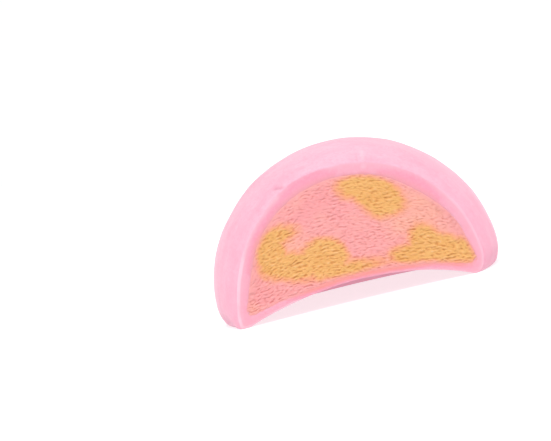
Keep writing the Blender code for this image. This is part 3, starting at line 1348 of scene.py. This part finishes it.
@dataclass(frozen=True)
class DoughFinish:
    """Matte pink dough: cloudy colour, a dusting of starch and a moister cut edge."""

    grain: bpy.types.NodeTree
    pale: Colour = linear(237, 174, 193)
    rosy: Colour = linear(233, 155, 179)
    deep: Colour = linear(228, 138, 166)
    starch: Colour = linear(242, 192, 207)
    crumb: Colour = linear(228, 149, 171)
    pale_crumb: Colour = linear(229, 165, 182)
    inner_crumb: Colour = linear(228, 154, 160)
    warm_crumb: Colour = linear(228, 143, 134)
    # Painted highlight along the rounded cut edge.
    rim: Colour = linear(237, 188, 202)
    # Painted shade for the bottoms of the folds, and painted highlight for the ridges.
    fold: Colour = linear(212, 138, 160)
    ridge: Colour = linear(242, 204, 212)
    grain_cell: float = 0.55 * MM
    speck_cell: float = 0.5 * MM
    dust_cell: float = 1.3 * MM
    crumb_cell: float = 1.8 * MM
    wisp_cell: float = 3.0 * MM
    cloud_cell: float = 9.0 * MM

    def outside(self, blank: Blank, wisps: Socket, dust: Socket, specks: Socket) -> Socket:
        """Colour of the outside: rosier low down, behind and at the right, dusted on top, and paler
        underneath: partly more starch, partly painted light.

        Args:
            blank: The material's bench.
            wisps: Drawn-out noise.
            dust: Noise of the starch.
            specks: Fine noise.

        Returns:
            The colour.
        """
        bench = blank.bench
        x, y, z = bench.axes(blank.place)
        facing_up = bench.axes(bench.node("ShaderNodeNewGeometry").outputs["Normal"])[2]
        clouds = bench.noise(blank.place, self.cloud_cell, 3.0, 0.55)
        low = bench.rescale(z, 0.0, 19 * MM, 0.85, 0.0)
        behind = bench.rescale(y, -17 * MM, 4 * MM, 0.55, 1.0)
        rosiness = bench.math("ADD", bench.rescale(clouds, 0.35, 0.7, 0.0, 0.5), low)
        rosiness = bench.times(rosiness, behind)
        rosiness = bench.math("ADD", rosiness, bench.rescale(x, 13 * MM, 25 * MM, 0.0, 0.3))
        rosiness = bench.math("ADD", rosiness, bench.rescale(wisps, 0.38, 0.68, -0.12, 0.3), clamp=True)
        colour = bench.mix(rosiness, self.pale, self.rosy)
        streaks = bench.times(bench.rescale(wisps, 0.58, 0.8, 0.0, 0.4), behind)
        colour = bench.mix(streaks, colour, self.deep)
        upward = bench.rescale(facing_up, -0.2, 1.0, 0.15, 0.45)
        colour = bench.mix(bench.times(bench.rescale(dust, 0.35, 0.72), upward), colour, self.starch)
        colour = bench.mix(bench.rescale(specks, 0.45, 0.75, 0.0, 0.6), colour, self.rosy)
        # Downward faces are paler: partly more starch underneath, partly painted light that lifts their shade.
        colour = bench.mix(bench.rescale(facing_up, -0.9, -0.4, 0.3, 0.0), colour, self.starch)
        return bench.mix(bench.times(blank.grain["Pore"], 0.5), colour, self.deep)

    def inside(self, blank: Blank, way_in: Socket, specks: Socket, pale: Socket, deep: Socket) -> Socket:
        """Colour of the cut dough: pale by the edge, deeper further in, warm by the filling.

        Args:
            blank: The material's bench.
            way_in: Share of the way from the edge to the filling.
            specks: Fine noise.
            pale: Share of paleness.
            deep: Share of deep pink.

        Returns:
            The colour.
        """
        bench = blank.bench
        warmth = bench.mask(Mask.WARMTH)
        depth = bench.rescale(bench.math("ADD", way_in, bench.times(deep, 0.3)), 0.08, 0.6)
        depth = bench.times(depth, bench.rescale(pale, 0.0, 1.0, 1.0, 0.25))
        colour = bench.mix(depth, self.pale_crumb, self.crumb)
        colour = bench.mix(bench.rescale(specks, 0.3, 0.6, 0.25, 0.0), colour, self.pale)
        inner = bench.mix(warmth, self.inner_crumb, self.warm_crumb)
        soaked = bench.math("ADD", way_in, bench.times(warmth, 0.35))
        soaked = bench.math("SUBTRACT", soaked, bench.times(pale, 0.3))
        return bench.mix(bench.rescale(soaked, 0.4, 0.95, 0.0, 0.85), colour, inner)

    def rim_highlight(self, blank: Blank, way_in: Socket, wisps: Socket, deep: Socket) -> Socket:
        """Strength of the painted highlight along the cut edge, fainter high up and at the right.

        Args:
            blank: The material's bench.
            way_in: Share of the way from the edge to the filling.
            wisps: Drawn-out noise.
            deep: Share of deep pink.

        Returns:
            The strength.
        """
        bench = blank.bench
        x, _, z = bench.axes(blank.place)
        # Painted highlight, broken up by noise and fading upwards and to the right.
        highlight_strength = bench.rescale(wisps, 0.35, 0.55, 0.4, 1.0)
        highlight_strength = bench.times(highlight_strength, bench.rescale(z, 12 * MM, 18 * MM, 1.0, 0.15))
        highlight_strength = bench.times(highlight_strength, bench.rescale(x, -8 * MM, 8 * MM, 1.0, 0.45))
        line = bench.times(bench.rescale(way_in, 0.0, 0.05), bench.rescale(way_in, 0.1, 0.2, 1.0, 0.0))
        return bench.times(line, bench.times(highlight_strength, bench.rescale(deep, 0.0, 1.0, 1.0, 0.0)))

    def build(self) -> bpy.types.Material:
        """Build the material from clouds, dust, pores and the masks of the cut edge.

        Returns:
            The material.
        """
        blank = Blank("rice_dough_finish", self.grain, self.grain_cell, 0.3)
        bench, shader, place = blank.bench, blank.shader, blank.place
        wisps = bench.noise(bench.stretched(place, (0.35, 1.5, 0.35)), self.wisp_cell, 3.0, 0.55)
        dust = bench.noise(place, self.dust_cell, 5.0, 0.7)
        specks = bench.noise(place, self.speck_cell, 3.0, 0.6)
        cloudy = bench.noise(place, self.crumb_cell, 3.0, 0.6)
        way_in, paleness, folded = (bench.mask(mask) for mask in (Mask.CRUMB, Mask.PALE, Mask.CREASE))
        deep = bench.math("MULTIPLY", paleness, -1.0, clamp=True)
        pale = bench.math("ADD", paleness, bench.rescale(cloudy, 0.4, 0.7, -0.25, 0.35), clamp=True)
        outside = self.outside(blank, wisps, dust, specks)
        inside = self.inside(blank, way_in, specks, pale, deep)
        is_cut = bench.rescale(way_in, 0.02, 0.12)
        # Painted highlight along the cut edge.
        line = self.rim_highlight(blank, way_in, wisps, deep)
        dough = bench.mix(line, bench.mix(is_cut, outside, inside), self.rim)
        # Painted shade in the fold bottoms and painted highlight on the ridges, both from the crease depth.
        dough = bench.mix(bench.rescale(folded, 0.05, 0.9, 0.0, 0.85), dough, self.fold)
        dough = bench.mix(bench.rescale(folded, -0.7, -0.05, 0.6, 0.0), dough, self.ridge)
        bench.feed(shader.inputs["Base Color"], dough)
        rough = bench.rescale(dust, 0.3, 0.7, 0.65, 0.88)
        bench.feed(shader.inputs["Roughness"], bench.math("SUBTRACT", rough, bench.times(is_cut, 0.1)))
        blank.roughen(0.35, 0.05 * MM)
        blank.soften(0.3, (1.0, 0.5, 0.55), MM, 0.3)
        shader.inputs["Sheen Weight"].default_value = 0.35
        shader.inputs["Sheen Roughness"].default_value = 0.45
        shader.inputs["Sheen Tint"].default_value = (1.0, 0.86, 0.92, 1.0)
        return blank.material


@dataclass(frozen=True)
class FillingFinish:
    """Ice cream: salmon pink that blends through orange into yellow patches."""

    grain: bpy.types.NodeTree
    pink: Colour = linear(230, 156, 155)
    rosy: Colour = linear(228, 150, 152)
    salmon: Colour = linear(231, 164, 148)
    orange: Colour = linear(228, 156, 120)
    yellow: Colour = linear(222, 168, 102)
    gold: Colour = linear(217, 158, 90)
    border: Colour = linear(229, 156, 155)
    warm_border: Colour = linear(228, 155, 126)
    # Painted shade for the creases, painted highlight for the crests and for the grain's raised tops.
    crease: Colour = linear(206, 158, 142)
    crest_highlight: Colour = linear(120, 112, 118)
    grain_highlight: Colour = linear(240, 205, 190)
    grain_cell: float = 0.3 * MM
    cloud_cell: float = 5.0 * MM

    def build(self) -> bpy.types.Material:
        """Build the material from the marbling and crease masks and fine grain.

        Returns:
            The material.
        """
        blank = Blank("ice_cream_finish", self.grain, self.grain_cell, 0.5)
        bench, shader, tone = blank.bench, blank.shader, blank.grain["Tone"]
        clouds = bench.noise(blank.place, self.cloud_cell, 2.0, 0.5)
        marbling, wrinkle = bench.mask(Mask.MARBLING), bench.mask(Mask.CREASE)
        pink = bench.mix(bench.rescale(clouds, 0.35, 0.7), self.pink, self.rosy)
        pink = bench.mix(bench.mask(Mask.WARMTH), pink, self.salmon)
        yellow = bench.mix(bench.rescale(clouds, 0.4, 0.7, 0.0, 0.7), self.yellow, self.gold)
        colour = bench.mix(bench.rescale(marbling, 0.0, 0.55), pink, self.orange)
        colour = bench.mix(bench.rescale(marbling, 0.4, 0.9), colour, yellow)
        border = bench.mix(bench.rescale(marbling, 0.2, 1.0), self.border, self.warm_border)
        colour = bench.mix(bench.times(bench.mask(Mask.EDGE), 0.85), colour, border)
        # Painted shade in the creases and painted highlight on the crests, from the crease depth.
        colour = bench.mix(bench.rescale(wrinkle, 0.0, 1.2, 0.0, 0.45), colour, self.crease, "MULTIPLY")
        colour = bench.mix(bench.rescale(wrinkle, -1.0, -0.1, 0.42, 0.0), colour, self.crest_highlight, "SCREEN")
        # Painted highlight where the grain stands high.
        colour = bench.mix(bench.rescale(tone, 0.5, 0.8, 0.0, 0.1), colour, self.grain_highlight)
        bench.feed(shader.inputs["Base Color"], colour)
        bench.feed(shader.inputs["Roughness"], bench.rescale(tone, 0.3, 0.7, 0.55, 0.75))
        blank.roughen(0.4, 0.04 * MM)
        blank.soften(0.1, (1.0, 0.5, 0.4), 0.5 * MM, 0.25)
        return blank.material


# --- Studio ------------------------------------------------------------------------------------


@dataclass
class Studio:
    """Pale floor, soft light from the upper front and a long lens that looks at the cut."""

    FLOOR_SIDES = 96

    shape: CakeShape
    turn_deg: float = 1.7
    elevation_deg: float = 5.0
    roll_deg: float = 13.5
    distance: float = 0.40
    lens_mm: float = 150.0
    aim_across: float = -15.0 * MM
    aim_up: float = 12.7 * MM
    floor_radius: float = 6.0
    sky: float = 0.5
    floor_glow: float = 0.5
    floor_seen: float = 0.64
    backdrop: float = 1.03
    softness_deg: float = 20.0
    # Height and turn in degrees and strength of each lamp: front, right, left, low and behind.
    suns: tuple[tuple[float, float, float], ...] = (
        (48, -5, 1.92),
        (25, 85, 0.65),
        (25, -85, 0.5),
        (8, 0, 0.2),
        (38, 180, 0.4),
    )

    def camera(self) -> None:
        """Place the camera, leaned over so that the cake's right side is the higher one."""
        turn, lift, roll = (math.radians(a) for a in (self.turn_deg, self.elevation_deg, self.roll_deg))
        ahead = Vector((math.sin(turn) * math.cos(lift), math.cos(turn) * math.cos(lift), -math.sin(lift)))
        level = Vector((math.cos(turn), -math.sin(turn), 0))
        upright = level.cross(ahead)
        right = level * math.cos(roll) - upright * math.sin(roll)
        up = level * math.sin(roll) + upright * math.cos(roll)
        stand = Vector((0, self.shape.axis_y, 0)) - ahead * self.distance
        aim = (ahead * self.distance + right * self.aim_across + up * self.aim_up).normalized()
        right = (right - aim * right.dot(aim)).normalized()
        up = right.cross(aim)
        data = bpy.data.cameras.new("view")
        data.lens = self.lens_mm
        data.clip_start = 0.01
        camera = bpy.data.objects.new("view", data)
        camera.matrix_world = Matrix.Translation(stand) @ Matrix((right, up, -aim)).transposed().to_4x4()
        bpy.context.scene.collection.objects.link(camera)
        bpy.context.scene.camera = camera

    def lights(self) -> None:
        """Light the cake from the upper front, and faintly from the sides, below and behind."""
        for number, (lift, turn, strength) in enumerate(self.suns):
            data = bpy.data.lights.new(f"sun_{number}", "SUN")
            data.energy = strength
            data.angle = math.radians(self.softness_deg)
            lamp = bpy.data.objects.new(data.name, data)
            lamp.rotation_euler = (math.radians(90 - lift), 0, math.radians(turn))
            bpy.context.scene.collection.objects.link(lamp)

    def surroundings(self) -> None:
        """White surroundings, dimmer for the light they give than for the camera."""
        world = bpy.data.worlds.new("soft_sky")
        world.use_nodes = True
        bench = NodeBench(world.node_tree)
        sky = world.node_tree.nodes["Background"]
        seen = bench.node("ShaderNodeLightPath").outputs["Is Camera Ray"]
        bench.feed(sky.inputs["Strength"], bench.rescale(seen, 0.0, 1.0, self.sky, self.backdrop))
        sky.inputs["Color"].default_value = (0.98, 0.99, 1.0, 1)
        bpy.context.scene.world = world

    def floor(self) -> None:
        """Lay a round pale floor that glows faintly, a little more so to the camera."""
        turns = np.linspace(0, 2 * math.pi, self.FLOOR_SIDES, endpoint=False)
        ring = np.stack([np.cos(turns), np.sin(turns), np.zeros_like(turns)], axis=-1)
        points = np.vstack([ring * self.floor_radius, [0, 0, 0]])
        index = np.arange(self.FLOOR_SIDES)
        sectors = fan(self.FLOOR_SIDES, index, np.roll(index, -1))
        floor = mesh_object("floor", points, np.empty((0, 4), int), sectors)
        material = bpy.data.materials.new("pale_floor")
        material.use_nodes = True
        shader = material.node_tree.nodes["Principled BSDF"]
        shader.inputs["Base Color"].default_value = (0.5, 0.505, 0.51, 1)
        bench = NodeBench(material.node_tree)
        seen = bench.node("ShaderNodeLightPath").outputs["Is Camera Ray"]
        glow = bench.mix(seen, (self.floor_glow,) * 3 + (1,), (self.floor_seen,) * 3 + (1,))
        bench.feed(shader.inputs["Emission Color"], glow)
        shader.inputs["Emission Strength"].default_value = 1.0
        shader.inputs["Roughness"].default_value = 0.9
        shader.inputs["Specular IOR Level"].default_value = 0.1
        floor.data.materials.append(material)

    def build(self) -> None:
        """Set up the floor, the light, the camera and plain colour handling."""
        bpy.context.scene.view_settings.view_transform = "Standard"
        self.surroundings()
        self.floor()
        self.lights()
        self.camera()


def dress(piece: bpy.types.Object, finish: bpy.types.Material, node: str) -> None:
    """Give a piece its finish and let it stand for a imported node.

    Args:
        piece: The piece.
        finish: Its material.
        node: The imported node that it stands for.
    """
    piece.data.materials.append(finish)
    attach(piece, "root")
    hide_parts(node)
    log.info("%s: %d points, %d faces", piece.name, len(piece.data.vertices), len(piece.data.polygons))


def main() -> None:
    """Build the dough, the filling and the studio, in that order."""
    logging.basicConfig(level=logging.INFO, format="%(message)s")
    shape = CakeShape.from_box(*CAD_BOX)
    grain = GrainGroup().build()
    skin = DoughSkin(shape)
    dress(skin.build(), DoughFinish(grain).build(), "mochi_skin")
    filling = Filling(skin)
    dress(filling.build(), FillingFinish(grain).build(), "ice_cream")
    Studio(shape).build()


if __name__ == "__main__":
    main()
